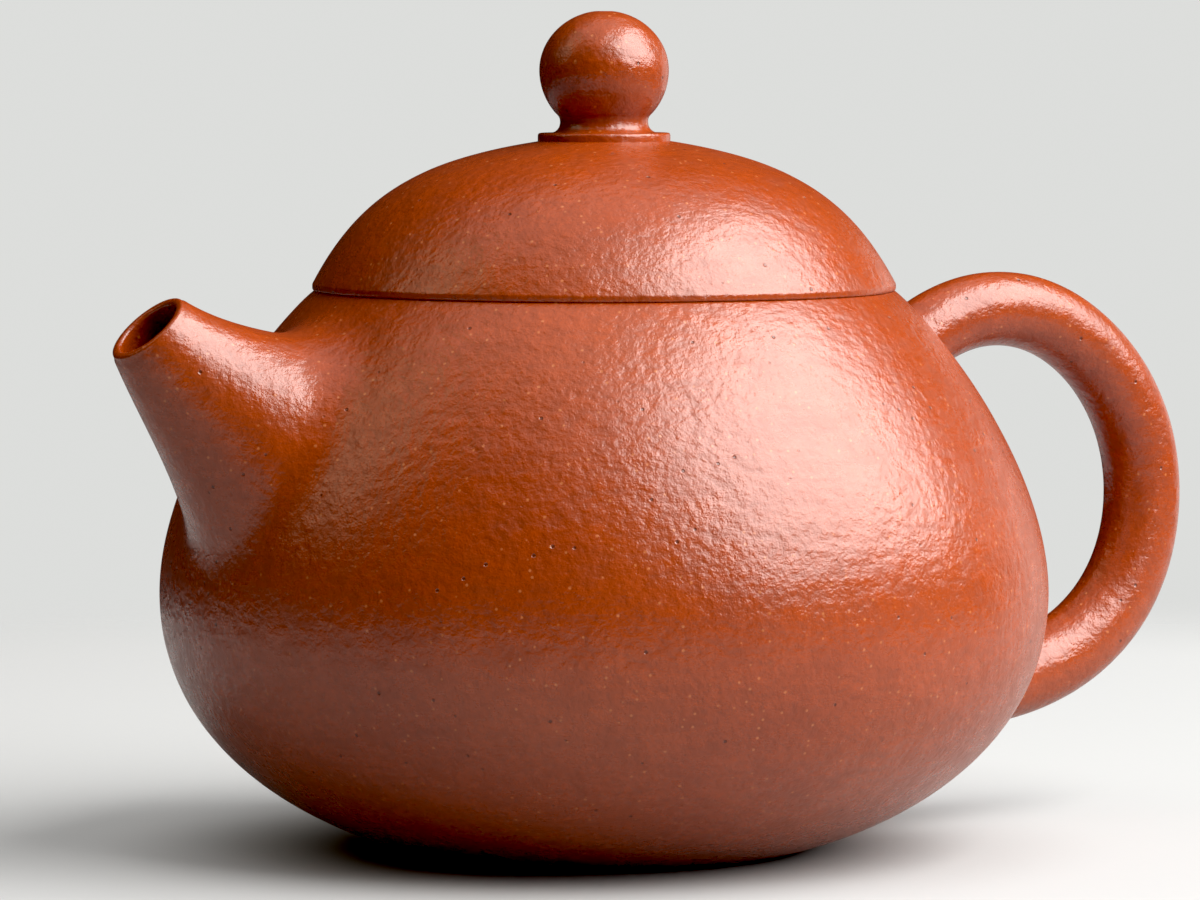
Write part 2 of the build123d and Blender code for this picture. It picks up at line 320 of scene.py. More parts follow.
class NodeBench:
    """A material's node tree with short ways to add and join nodes."""

    def __init__(self, name: str) -> None:
        """Start a material with nothing but its output and object coordinates."""
        self.material = bpy.data.materials.new(name)
        self.material.use_nodes = True
        self.tree = self.material.node_tree
        self.tree.nodes.clear()
        self.output = self.tree.nodes.new("ShaderNodeOutputMaterial")
        self.place = self.tree.nodes.new("ShaderNodeTexCoord").outputs["Object"]

    def add(self, kind: str, inputs: dict[str, object] | None = None, **settings: object) -> bpy.types.Node:
        """Add a node.

        Args:
            kind: its Blender type name.
            inputs: values or sockets for its inputs, by name or number.
            settings: its own properties.

        Returns:
            The node.
        """
        node = self.tree.nodes.new(kind)
        for key, value in settings.items():
            setattr(node, key, value)
        for key, value in (inputs or {}).items():
            if isinstance(value, bpy.types.NodeSocket):
                self.tree.links.new(value, node.inputs[key])
            else:
                node.inputs[key].default_value = value
        return node

    def noise(self, scale: float, detail: float = 2.0, roughness: float = 0.5,
              place: bpy.types.NodeSocket | None = None) -> bpy.types.NodeSocket:
        """Smooth noise between 0 and 1, with scale in waves per metre."""
        made = self.add("ShaderNodeTexNoise", {"Vector": place or self.place, "Scale": scale,
                                               "Detail": detail, "Roughness": roughness})
        return made.outputs["Fac"]

    def stretched(self, scale: Colour) -> bpy.types.NodeSocket:
        """Object coordinates scaled by three factors."""
        return self.add("ShaderNodeMapping", {"Vector": self.place, "Scale": scale}).outputs["Vector"]

    def span(self, value: bpy.types.NodeSocket, low: float, high: float,
             to_low: float = 0.0, to_high: float = 1.0) -> bpy.types.NodeSocket:
        """Map the stretch from low to high onto another, clamped at its ends."""
        made = self.add("ShaderNodeMapRange", {"Value": value, "From Min": low, "From Max": high,
                                               "To Min": to_low, "To Max": to_high}, clamp=True)
        return made.outputs["Result"]

    def ease(self, value: bpy.types.NodeSocket, stretch: tuple[float, float],
             high: float = 1.0) -> bpy.types.NodeSocket:
        """Rise smoothly from 0 to high over a stretch of the value."""
        made = self.add("ShaderNodeMapRange", {"Value": value, "From Min": stretch[0], "From Max": stretch[1],
                                               "To Max": high}, interpolation_type="SMOOTHSTEP")
        return made.outputs["Result"]

    def grey(self, value: bpy.types.NodeSocket) -> bpy.types.NodeSocket:
        """A value as a grey colour."""
        return self.add("ShaderNodeCombineColor", {"Red": value, "Green": value, "Blue": value}).outputs[0]

    def math(self, operation: str, first: object, second: object) -> bpy.types.NodeSocket:
        """One step of arithmetic on two values or sockets."""
        return self.add("ShaderNodeMath", {0: first, 1: second}, operation=operation).outputs[0]

    def mix(self, share: object, first: object, second: object, blend: str = "MIX") -> bpy.types.NodeSocket:
        """Blend two colours.

        Args:
            share: how much of the second there is, as a value or a socket.
            first: the colour below, as a colour or a socket.
            second: the colour above.
            blend: the way they are laid over each other.

        Returns:
            The blended colour.
        """
        made = self.add("ShaderNodeMix", data_type="RGBA", blend_type=blend)
        for index, value in ((0, share), (6, first), (7, second)):
            if isinstance(value, bpy.types.NodeSocket):
                self.tree.links.new(value, made.inputs[index])
            elif index == 0:
                made.inputs[index].default_value = value
            else:
                made.inputs[index].default_value = (*value, 1.0)
        return made.outputs[2]

    def bump(self, height: bpy.types.NodeSocket, depth: float,
             under: bpy.types.NodeSocket | None = None) -> bpy.types.NodeSocket:
        """Relief of a depth in metres, laid over another relief."""
        inputs: dict[str, object] = {"Height": height, "Distance": depth, "Strength": 1.0}
        if under is not None:
            inputs["Normal"] = under
        return self.add("ShaderNodeBump", inputs).outputs["Normal"]

    def spots(self, scale: float, size: float, share: float) -> bpy.types.NodeSocket:
        """Scattered round spots.

        Args:
            scale: cells per metre, one spot at most in each.
            size: radius of a spot as a share of its cell.
            share: how many of the cells have one.

        Returns:
            1 in the middle of a spot, 0 outside it.
        """
        cells = self.add("ShaderNodeTexVoronoi", {"Vector": self.place, "Scale": scale, "Randomness": 1.0})
        spot = self.span(cells.outputs["Distance"], size * 0.55, size, 1.0, 0.0)
        luck = self.add("ShaderNodeSeparateColor", {"Color": cells.outputs["Color"]}).outputs["Red"]
        return self.math("MULTIPLY", spot, self.span(luck, share * 0.9, share, 1.0, 0.0))


@dataclass(frozen=True)
class ClayFinish:
    """Unglazed red stoneware, scraped and burnished, with a fine sandy skin."""

    name: str
    ground: Colour = linear(150, 60, 18)
    flushed: Colour = linear(161, 69, 22)
    burnt: Colour = linear(138, 53, 15)
    sand: Colour = linear(206, 128, 80)
    iron: Colour = linear(66, 22, 9)
    roughness: tuple[float, float] = (0.22, 0.34)
    ripple_depth: float = 0.16 * MM
    scrape_depth: float = 0.020 * MM
    lump_depth: float = 0.10 * MM
    skin_depth: float = 0.10 * MM
    grain_depth: float = 0.016 * MM
    pit_depth: float = 0.05 * MM
    burnish: float = 0.72
    ior: float = 1.5
    broad_waves: float = 38.0
    ripple_waves: float = 130.0
    close_waves: float = 420.0
    lump_waves: float = 640.0
    skin_waves: float = 1500.0
    grain_waves: float = 5200.0
    scrape_waves: Colour = (150.0, 150.0, 1300.0)
    sand_cells: float = 1150.0
    iron_cells: float = 620.0
    ground_share: float = 0.55
    sand_share: float = 0.50
    iron_share: float = 0.75

    def material(self) -> bpy.types.Material:
        """Build the finish.

        Returns:
            The material, with colour, gloss and relief all from its nodes.
        """
        bench = NodeBench(self.name)
        broad = bench.noise(self.broad_waves, 3.0, 0.55)
        close = bench.noise(self.close_waves, 4.0, 0.6)
        streak = bench.noise(1.0, 3.0, 0.6, bench.stretched(self.scrape_waves))
        skin = bench.noise(self.skin_waves, 3.0, 0.6)
        grain = bench.noise(self.grain_waves, 1.0, 0.5)
        sand = bench.spots(self.sand_cells, size=0.20, share=0.34)
        iron = bench.spots(self.iron_cells, size=0.13, share=0.20)

        colour = bench.mix(bench.span(broad, 0.35, 0.68), self.burnt, self.flushed)
        colour = bench.mix(self.ground_share, colour, self.ground)
        mottle = bench.span(close, 0.30, 0.72, 0.90, 1.08)
        scrape = bench.span(streak, 0.32, 0.70, 0.94, 1.05)
        fine = bench.span(skin, 0.30, 0.70, 0.90, 1.08)
        tone = bench.math("MULTIPLY", bench.math("MULTIPLY", mottle, scrape), fine)
        colour = bench.mix(1.0, colour, bench.grey(tone), "MULTIPLY")
        colour = bench.mix(bench.math("MULTIPLY", sand, self.sand_share), colour, self.sand)
        colour = bench.mix(bench.math("MULTIPLY", iron, self.iron_share), colour, self.iron)

        wear = bench.math("ADD", bench.math("MULTIPLY", close, 0.6), bench.math("MULTIPLY", streak, 0.4))
        gloss = bench.span(wear, 0.36, 0.64, self.roughness[1], self.roughness[0])
        relief = bench.bump(bench.noise(self.ripple_waves, 2.0, 0.5), self.ripple_depth)
        relief = bench.bump(streak, self.scrape_depth, relief)
        relief = bench.bump(bench.noise(self.lump_waves, 1.0, 0.5), self.lump_depth, relief)
        relief = bench.bump(skin, self.skin_depth, relief)
        relief = bench.bump(grain, self.grain_depth, relief)
        relief = bench.bump(bench.math("SUBTRACT", 1.0, iron), self.pit_depth, relief)

        shader = bench.add("ShaderNodeBsdfPrincipled", {
            "Base Color": colour, "Roughness": gloss, "Normal": relief, "IOR": self.ior,
            "Specular IOR Level": self.burnish})
        bench.tree.links.new(shader.outputs["BSDF"], bench.output.inputs["Surface"])
        return bench.material


@dataclass(frozen=True)
class Finishes:
    """The teapot's clays, each made once."""

    pot: bpy.types.Material
    inside: bpy.types.Material
    lid: bpy.types.Material

    @classmethod
    def fire(cls) -> "Finishes":
        """Make every clay of the teapot."""
        pot = ClayFinish("red_clay_pot")
        inside = ClayFinish("red_clay_inside", roughness=(0.55, 0.7), burnish=0.4)
        lid = ClayFinish("red_clay_lid")
        return cls(pot.material(), inside.material(), lid.material())


@dataclass(frozen=True)
class Piece:
    """A finished mesh and what it stands for."""

    shape: bpy.types.Object
    body: Body
    slot: Slot
    nodes: tuple[str, ...]

    def settle(self, clay: bpy.types.Material) -> None:
        """Dress the piece, put it on its body and report it.

        Args:
            clay: the material it gets.
        """
        self.shape.data.materials.clear()
        self.shape.data.materials.append(clay)
        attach(self.shape, self.body.value)
        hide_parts(*self.nodes)
        LOG.info("%s stands for %s: %d faces", self.shape.name, ", ".join(self.nodes), len(self.shape.data.polygons))


# ---------------------------------------------------------------- pot


@dataclass
class PotShell:
    """The thrown-looking body: base slab, belly wall, shoulder ring and mouth ring, luted and scraped as one."""

    belly_radius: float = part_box("body_wall")[1].y
    mouth_height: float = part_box("mouth_ring")[1].z
    floor_top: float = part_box("base_disc")[1].z
    base_radius: float = 18.5 * MM
    base_rim_width: float = 3.0 * MM
    base_hollow: float = 0.7 * MM
    base_softness: float = 0.35 * MM
    lift: float = math.radians(13.5)
    base_roundness: float = 12.3 * MM
    belly_height: float = 24.2 * MM
    fullness_below: float = 13.2 * MM
    fullness_above: float = 12.3 * MM
    mouth_radius: float = 27.3 * MM
    slope: float = math.radians(36.4)
    shoulder_roundness: float = 4.0 * MM
    wall: float = 2.8 * MM
    bore_radius: float = 22.4 * MM
    softness: float = 0.3 * MM
    segments: int = 360
    steps: int = 64
    heights: np.ndarray = field(init=False)
    radii: np.ndarray = field(init=False)

    def __post_init__(self) -> None:
        """Keep the outline as a table of radius against height."""
        outline = np.array(self.outline(0.0, 0.0, 1200))
        self.radii, self.heights = outline[:, 0], outline[:, 1]

    def outline(self, inset: float, bottom: float, steps: int) -> list[Point]:
        """The belly's outline from the base up to the mouth.

        Args:
            inset: how far it is moved inwards.
            bottom: height that it starts from.
            steps: stretches in each of its two curves.

        Returns:
            Its places, from the bottom up.
        """
        shrink = (self.belly_radius - inset) / self.belly_radius
        widest = (self.belly_radius - inset, self.belly_height)
        foot = (self.base_radius - inset, bottom)
        top = (self.mouth_radius - inset * math.sin(self.slope), self.mouth_height - inset * math.cos(self.slope))
        lower = [foot,
                 (foot[0] + self.base_roundness * math.cos(self.lift),
                  bottom + self.base_roundness * math.sin(self.lift)),
                 (widest[0], widest[1] - self.fullness_below * shrink),
                 widest]
        upper = [widest,
                 (widest[0], widest[1] + self.fullness_above * shrink),
                 (top[0] + self.shoulder_roundness * math.cos(self.slope),
                  top[1] - self.shoulder_roundness * math.sin(self.slope)),
                 top]
        return cubic(lower, steps) + cubic(upper, steps)[1:]

    def radius_at(self, height: np.ndarray) -> np.ndarray:
        """Outer radius at each height."""
        return np.interp(height, self.heights, self.radii)

    def gap(self, places: np.ndarray) -> np.ndarray:
        """Level distance of points from the outer surface, above 0 outside it."""
        return np.hypot(places[:, 0], places[:, 1]) - self.radius_at(places[:, 2])

    def normals(self, places: np.ndarray) -> np.ndarray:
        """Outward directions of the surface beside points.

        Args:
            places: points near the surface, one per row.

        Returns:
            Unit vectors, one per row.
        """
        step = 0.05 * MM
        run = (self.radius_at(places[:, 2] + step) - self.radius_at(places[:, 2] - step)) / (2 * step)
        flat = places[:, :2] / np.hypot(places[:, 0], places[:, 1])[:, None]
        return unit(np.column_stack([flat, -run]))

    def onto(self, places: np.ndarray, lift: float = 0.0) -> np.ndarray:
        """Bring nearby points onto the outer surface.

        Args:
            places: points near the surface, one per row.
            lift: how far above it they end up.

        Returns:
            The moved points.
        """
        for _ in range(4):
            out = self.normals(places)
            level = np.hypot(out[:, 0], out[:, 1])
            places = places - out * (self.gap(places) * level - lift)[:, None]
        return places

    def build(self, channel: bpy.types.Object) -> Piece:
        """Make the shell with its port for the spout.

        Args:
            channel: a solid that fills the spout's bore.

        Returns:
            The shell, standing for the four nodes luted into it.
        """
        outer = self.outline(0.0, 0.0, self.steps)
        inner = self.outline(self.wall, self.floor_top, self.steps // 2)
        hollow_radius = self.base_radius - self.base_rim_width
        under = [(hollow_radius * s, self.base_hollow * (1 - s * s)) for s in np.linspace(0.0, 1.0, 12)]
        land = (self.mouth_radius, self.mouth_height)
        lip = (self.bore_radius, self.mouth_height)
        ceiling = inner[-1][1]
        profile = under
        profile += soften(under[-1], (self.base_radius, 0.0), outer[3], self.base_softness)
        profile += outer[3:-2]
        profile += soften(outer[-2], land, lip, self.softness)
        profile += soften(land, lip, (self.bore_radius, ceiling), self.softness)
        profile += [(self.bore_radius, ceiling)]
        profile += inner[::-1]
        profile += [(inner[0][0] * s, self.floor_top) for s in (0.66, 0.33, 0.0)]
        mesh = ClayMesh("pot_shell")
        mesh.turn(profile, self.segments, closed=False)
        shell = mesh.finish()
        pierce(shell, channel)
        return Piece(shell, Body.POT, Slot.POT, ("base_disc", "body_wall", "shoulder_ring", "mouth_ring"))


def pierce(shape: bpy.types.Object, tool: bpy.types.Object) -> None:
    """Cut one closed mesh out of another, then clear the tool away.

    Args:
        shape: the piece to cut.
        tool: the solid that is taken out of it.
    """
    cut = shape.modifiers.new("port", "BOOLEAN")
    cut.operation = "DIFFERENCE"
    cut.solver = "EXACT"
    cut.object = tool
    bpy.context.view_layer.update()
    done = bpy.data.meshes.new_from_object(shape.evaluated_get(bpy.context.evaluated_depsgraph_get()))
    shape.modifiers.clear()
    worn = shape.data
    shape.data = done
    done.name = worn.name
    done.set_sharp_from_angle(angle=math.radians(35.0))
    bpy.data.meshes.remove(worn)
    bpy.data.objects.remove(tool)


@dataclass
class Root:
    """Where a limb meets the pot, and the clay paste that fairs it in."""

    pot: PotShell
    radius: float
    steps: int = 14
    lift: float = 0.003 * MM
    sink: float = 0.015 * MM
    tuck: float = 0.6 * MM

    def crossing(self, line: Callable[[np.ndarray], np.ndarray], outside: float, inside: float,
                 count: int, depth: float = 0.0) -> np.ndarray:
        """Find where each line of a limb enters the pot.

        Args:
            line: gives the points of the lines at one share each.
            outside: a share at which every line is outside the pot.
            inside: a share at which every line is inside it.
            count: how many lines there are.
            depth: how far under the surface they are followed.

        Returns:
            The share of each line's crossing.
        """
        near, far = np.full(count, outside), np.full(count, inside)
        for _ in range(HALVINGS):
            middle = (near + far) / 2
            out = self.pot.gap(line(middle)) + depth > 0
            near, far = np.where(out, middle, near), np.where(out, far, middle)
        return near

    def fair(self, line: Callable[[np.ndarray], np.ndarray], away: np.ndarray,
             crossing: np.ndarray, way: float) -> tuple[np.ndarray, list[np.ndarray]]:
        """Fair a limb's lines onto the pot.

        Args:
            line: gives the points of the lines at one share each.
            away: direction from the limb's middle, for each line.
            crossing: share at which each line enters the pot.
            way: +1 if shares grow towards the pot, -1 if they shrink.

        Returns:
            The share at which each line leaves the limb, and the rows from there down to the pot.
        """
        step = 1e-4
        place = line(crossing)
        heading = (line(crossing + way * step) - line(crossing - way * step)) / (2 * step)
        speed = np.linalg.norm(heading, axis=1)
        heading = heading / speed[:, None]
        out = self.pot.normals(place)
        along = unit(away - np.sum(away * out, axis=1)[:, None] * out)
        turn = np.arccos(np.clip(np.sum(heading * along, axis=1), -1.0, 1.0))
        reach = self.radius * np.tan(turn / 2)
        pull = (4 / 3 * np.tan(turn / 4) / np.tan(turn / 2) * reach)[:, None]
        share = crossing - way * reach / speed
        start = line(share)
        leaving = unit(line(share + way * step) - line(share - way * step))
        end = self.pot.onto(place + along * reach[:, None], self.lift)
        out = self.pot.normals(end)
        landing = unit(along - np.sum(along * out, axis=1)[:, None] * out)
        handles = [start, start + leaving * pull, end - landing * pull, end]
        rows = [cubic_at(handles, t) for t in np.linspace(0.0, 1.0, self.steps + 1)[1:]]
        rows.append(self.pot.onto(end + landing * self.tuck, -self.sink))
        return share, rows


@dataclass
class Spout:
    """Short beak that flares into the shoulder, with a bore through to the pot."""

    pot: PotShell
    reach: float = 5.85 * MM
    drop: float = 2.4 * MM
    lip_radius: float = 4.05 * MM
    bore_radius: float = 3.15 * MM
    mouth_angle: float = math.radians(48.5)
    root_depth: float = 12.0 * MM
    root_top_drop: float = 5.15 * MM
    root_foot_rise: float = 1.3 * MM
    root_angle: float = math.radians(44.0)
    flare: float = 0.41
    blend: float = 8.0 * MM
    lip_softness: float = 0.38 * MM
    port_radius: float = 8.2 * MM
    port_slack: float = 0.05 * MM
    bore_end: float = 1.2 * MM
    segments: int = 144
    steps: int = 44

    def root_edges(self) -> Point:
        """Heights of the top and the lower edge of the root."""
        return self.pot.mouth_height - self.root_top_drop, self.pot.belly_height + self.root_foot_rise

    def middle(self, share: np.ndarray) -> tuple[np.ndarray, np.ndarray]:
        """Middle line of the spout, lip at 0 and root at 1.

        Args:
            share: shares along it.

        Returns:
            Its points (x, height), and its slopes in radians.
        """
        top, foot = self.root_edges()
        lip = np.array([-(self.pot.belly_radius + self.reach), self.pot.mouth_height - self.drop])
        root = np.array([-(self.pot.belly_radius - self.root_depth), (top + foot) / 2])
        pull = np.linalg.norm(lip - root) / 3
        first = lip + pull * np.array([math.cos(self.mouth_angle), -math.sin(self.mouth_angle)])
        second = root + pull * np.array([-math.cos(self.root_angle), math.sin(self.root_angle)])
        place = cubic_at([lip, first, second, root], share[:, None])
        return place, self.mouth_angle + (self.root_angle - self.mouth_angle) * share

    def ring(self, share: np.ndarray, angles: np.ndarray, radius: np.ndarray, rise: float = 0.0) -> np.ndarray:
        """Points round the middle line.

        Args:
            share: share of the middle line, for each point.
            angles: angle round it, for each point.
            radius: distance from it, for each point.
            rise: distance out along the line's own direction.

        Returns:
            The points, one per row.
        """
        place, slope = self.middle(share)
        side, up = np.cos(angles) * radius, np.sin(angles) * radius
        return np.column_stack([place[:, 0] + up * np.sin(slope) - rise * np.cos(slope),
                                side,
                                place[:, 1] + up * np.cos(slope) + rise * np.sin(slope)])

    def outside(self, share: np.ndarray) -> np.ndarray:
        """Outer radius at shares of the middle line."""
        top, foot = self.root_edges()
        growth = (top - foot) / 2 / math.cos(self.root_angle) - self.lip_radius
        return self.lip_radius + growth * ((1 - self.flare) * share + self.flare * share ** 2)

    def bore(self, share: np.ndarray) -> np.ndarray:
        """Bore radius at shares of the middle line."""
        return self.bore_radius + (self.port_radius - self.bore_radius) * share

    def channel(self) -> bpy.types.Object:
        """A solid that fills the bore, a touch wider, to cut the port with."""
        angles = around(self.segments)
        mesh = ClayMesh("port_tool", work=None)
        rows = []
        for share in np.linspace(0.0, 1.0, 9):
            at = np.full(self.segments, share)
            rows.append(mesh.row(self.ring(at, angles, self.bore(at) + self.port_slack)))
        mesh.bridge_all(mesh.cap(rows))
        return mesh.finish()

    def build(self) -> Piece:
        """Make the spout, hollow and faired onto the pot.

        Returns:
            The spout's piece.
        """
        count = self.segments
        angles = around(count)
        root = Root(self.pot, self.blend)

        def outer_line(share: np.ndarray) -> np.ndarray:
            """Outer surface at one share for each angle."""
            return self.ring(share, angles, self.outside(share))

        def bore_line(share: np.ndarray) -> np.ndarray:
            """Bore at one share for each angle."""
            return self.ring(share, angles, self.bore(share))

        near = np.zeros(count)
        crossing = root.crossing(outer_line, 0.0, 1.0, count)
        away = unit(outer_line(crossing) - self.ring(crossing, angles, near))
        leaves, skirt = root.fair(outer_line, away, crossing, 1.0)
        length = np.linalg.norm(self.middle(np.ones(1))[0] - self.middle(np.zeros(1))[0])
        first = self.lip_softness / length
        mesh = ClayMesh("spout_beak")
        rows = []
        edge = self.lip_softness
        ins = soften((self.bore_radius, -1.0), (self.bore_radius, 0.0), (self.lip_radius, 0.0), edge, 6)
        outs = soften((self.bore_radius, 0.0), (self.lip_radius, 0.0), (self.lip_radius, -1.0), edge, 6)
        for radius, rise in ins + outs:
            rows.append(mesh.row(self.ring(near, angles, np.full(count, radius), rise)))
        for t in np.linspace(0.0, 1.0, self.steps + 1)[1:]:
            rows.append(mesh.row(outer_line(first + (leaves - first) * t)))
        rows += [mesh.row(row) for row in skirt]
        depth = root.crossing(bore_line, 0.0, 1.0, count, self.bore_end)
        for t in np.linspace(1.0, 0.0, self.steps // 2)[:-1]:
            rows.append(mesh.row(bore_line(first + (depth - first) * t)))
        mesh.bridge_all(rows, closed=True)
        return Piece(mesh.finish(), Body.POT, Slot.POT, ("spout",))


@dataclass
class Handle:
    """Round bow from the shoulder, out past the belly and back to its underside."""

    pot: PotShell
    reach: float = 19.7 * MM
    widest_height: float = 31.3 * MM
    top_drop: float = 7.9 * MM
    top_depth: float = 2.0 * MM
    top_angle: float = math.radians(42.7)
    top_pull: float = 17.8 * MM
    pull_above: float = 14.3 * MM
    pull_below: float = 11.2 * MM
    foot_drop: float = 11.1 * MM
    foot_depth: float = 2.4 * MM
    foot_angle: float = math.radians(-4.5)
    foot_pull: float = 16.1 * MM
    top_diameter: float = 6.9 * MM
    foot_diameter: float = 8.1 * MM
    blend: float = 2.9 * MM
    end_inset: float = 0.6 * MM
    segments: int = 80
    steps: int = 120

    def spans(self) -> list[np.ndarray]:
        """Control points (x, height) of the middle line, above and below its widest place.

        Returns:
            The two sets of four points.
        """
        top = self.pot.mouth_height - self.top_drop
        foot = self.pot.belly_height - self.foot_drop
        start = np.array([float(self.pot.radius_at(np.array(top))) - self.top_depth, top])
        end = np.array([float(self.pot.radius_at(np.array(foot))) - self.foot_depth, foot])
        widest = np.array([self.pot.belly_radius + self.reach, self.widest_height])
        rise = np.array([math.cos(self.top_angle), math.sin(self.top_angle)])
        fall = np.array([math.cos(self.foot_angle), math.sin(self.foot_angle)])
        up = np.array([0.0, 1.0])
        return [np.array([start, start + rise * self.top_pull, widest + up * self.pull_above, widest]),
                np.array([widest, widest - up * self.pull_below, end + fall * self.foot_pull, end])]

    def middle(self, share: np.ndarray) -> tuple[np.ndarray, np.ndarray]:
        """Middle line, its top root at 0, its widest place at 1 and its foot at 2.

        Args:
            share: shares along it; past either end it runs on straight.

        Returns:
            Its points (x, height), and its unit directions.
        """
        place, heading = np.zeros((len(share), 2)), np.zeros((len(share), 2))
        for index, span in enumerate(self.spans()):
            chosen = (share < 1) if index == 0 else (share >= 1)
            t = np.clip(share[chosen] - index, 0.0, 1.0)[:, None]
            spare = (share[chosen] - index)[:, None] - t
            slope = 3 * ((1 - t) ** 2 * (span[1] - span[0]) + 2 * t * (1 - t) * (span[2] - span[1])
                         + t * t * (span[3] - span[2]))
            place[chosen] = cubic_at(span, t) + spare * slope
            heading[chosen] = unit(slope)
        return place, heading

    def ring(self, share: np.ndarray, angles: np.ndarray, scale: float = 1.0) -> np.ndarray:
        """Points round the middle line.

        Args:
            share: share of the middle line, for each point.
            angles: angle round it, for each point.
            scale: share of the bow's own radius.

        Returns:
            The points, one per row.
        """
        place, heading = self.middle(share)
        radius = scale * (self.top_diameter + (self.foot_diameter - self.top_diameter) * (0.1 + 0.4 * share)) / 2
        side, up = np.cos(angles) * radius, np.sin(angles) * radius
        return np.column_stack([place[:, 0] - up * heading[:, 1], side, place[:, 1] + up * heading[:, 0]])

    def build(self) -> Piece:
        """Make the bow, faired onto the pot at both roots.

        Returns:
            The handle's piece.
        """
        count = self.segments
        angles = around(count)
        root = Root(self.pot, self.blend)

        def line(share: np.ndarray) -> np.ndarray:
            """Surface at one share for each angle."""
            return self.ring(share, angles)

        ends = []
        for outside, inside, way in ((0.6, -0.1, -1.0), (1.4, 2.15, 1.0)):
            crossing = root.crossing(line, outside, inside, count)
            away = unit(line(crossing) - self.ring(crossing, angles, 0.0))
            ends.append(root.fair(line, away, crossing, way))
        (top, top_skirt), (foot, foot_skirt) = ends
        mesh = ClayMesh("handle_bow")
        rows = [mesh.row(row) for row in reversed(top_skirt)]
        for t in np.linspace(0.0, 1.0, self.steps + 1):
            rows.append(mesh.row(line(top + (foot - top) * t)))
        rows += [mesh.row(row) for row in foot_skirt]
        mesh.bridge_all(mesh.cap(rows, self.end_inset))
        return Piece(mesh.finish(50.0), Body.POT, Slot.POT, ("handle",))


@dataclass
class Strainer:
    """The pierced dome behind the spout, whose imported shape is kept."""

    node: str = "strainer"

    def dress(self, clay: bpy.types.Material) -> None:
        """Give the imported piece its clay.

        Args:
            clay: the material it gets.
        """
        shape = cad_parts[self.node]
        shape.data.materials.clear()
        shape.data.materials.append(clay)
        shape.data.shade_smooth()
        shape.data.set_sharp_from_angle(angle=math.radians(40.0))
        LOG.info("%s keeps its packed shape", self.node)


# ---------------------------------------------------------------- lid


def thrown(name: str, profile: list[Point], segments: int, node: str) -> Piece:
    """Throw a closed outline into a piece of the lid.

    Args:
        name: the piece's name.
        profile: its (radius, height) places in order.
        segments: how many places stand in a full turn.
        node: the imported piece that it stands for.

    Returns:
        The piece.
    """
    mesh = ClayMesh(name)
    mesh.turn(profile, segments, closed=True)
    return Piece(mesh.finish(), Body.LID, Slot.LID, (node,))


@dataclass
class Lid:
    """Domed lid: the dome slab, the seat ring under its rim and the flange that enters the mouth."""

    seat_height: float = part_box("lid_dome")[0].z
    top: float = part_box("lid_dome")[1].z
    radius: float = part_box("lid_dome")[1].y
    flange_radius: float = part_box("lid_flange")[1].y
    flange_bottom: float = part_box("lid_flange")[0].z
    seat_top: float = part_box("lid_seat_ring")[1].z
    collar_radius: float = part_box("knob_collar")[1].y
    rim_height: float = 0.6 * MM
    thickness: float = 2.6 * MM
    rim_lean: float = math.radians(27.9)
    rim_roundness: float = 10.0 * MM
    crown_slope: float = math.radians(9.3)
    crown_roundness: float = 10.8 * MM
    flange_thickness: float = 2.4 * MM
    flange_softness: float = 0.5 * MM
    softness: float = 0.3 * MM
    brow_softness: float = 0.45 * MM
    hole_radius: float = 0.6 * MM
    segments: int = 320

    def curve(self, inset: float, steps: int) -> list[Point]:
        """The dome's outline from its rim up to its crown.

        Args:
            inset: how far it is moved inwards.
            steps: stretches along it.

        Returns:
            Its places.
        """
        rim = (self.radius - inset * math.cos(self.rim_lean),
               self.seat_height + self.rim_height - inset * math.sin(self.rim_lean))
        crown = (self.collar_radius, self.top - inset)
        return cubic([rim,
                      (rim[0] - self.rim_roundness * math.sin(self.rim_lean),
                       rim[1] + self.rim_roundness * math.cos(self.rim_lean)),
                      (crown[0] + self.crown_roundness * math.cos(self.crown_slope),
                       crown[1] - self.crown_roundness * math.sin(self.crown_slope)),
                      crown], steps)

    def inner_curve(self) -> list[Point]:
        """The dome's inner outline, from the level of the seat up."""
        places = self.curve(self.thickness, 60)
        above = [place for place in places if place[1] > self.seat_height]
        below = places[len(places) - len(above) - 1]
        share = (self.seat_height - below[1]) / (above[0][1] - below[1])
        start = (below[0] + (above[0][0] - below[0]) * share, self.seat_height)
        return [start, *above]

    def dome(self) -> Piece:
        """The domed slab with its upright rim and air hole.

        Returns:
            The dome's piece.
        """
        outer = self.curve(0.0, 70)
        inner = self.inner_curve()
        corner = (self.radius, self.seat_height)
        brow = outer[0]
        profile = [(self.hole_radius, self.top - self.thickness), (self.hole_radius, self.top)]
        profile += outer[:1:-1]
        profile += soften(outer[2], brow, corner, self.brow_softness)
        profile += soften(brow, corner, inner[0], self.softness * 0.8)
        profile += inner
        return thrown("lid_dome_slab", profile, self.segments, "lid_dome")

    def seat(self) -> Piece:
        """The flat ring under the rim that rests on the mouth.

        Returns:
            The seat ring's piece.
        """
        inner = [place for place in self.inner_curve() if place[1] < self.seat_top]
        bore = self.flange_radius - self.flange_thickness
        profile = [(bore, self.seat_height), *inner, (inner[-1][0], self.seat_top), (bore, self.seat_top)]
        return thrown("lid_seat", profile, self.segments, "lid_seat_ring")

    def flange(self) -> Piece:
        """The turned-down ring that keeps the lid in the mouth.

        Returns:
            The flange's piece.
        """
        out, bore = self.flange_radius, self.flange_radius - self.flange_thickness
        low = self.flange_bottom
        profile = [(bore, self.seat_height), (out, self.seat_height)]
        profile += soften((out, self.seat_height), (out, low), (bore, low), self.flange_softness, 7)
        profile += soften((out, low), (bore, low), (bore, self.seat_height), self.flange_softness, 7)
        return thrown("lid_flange_ring", profile, self.segments, "lid_flange")


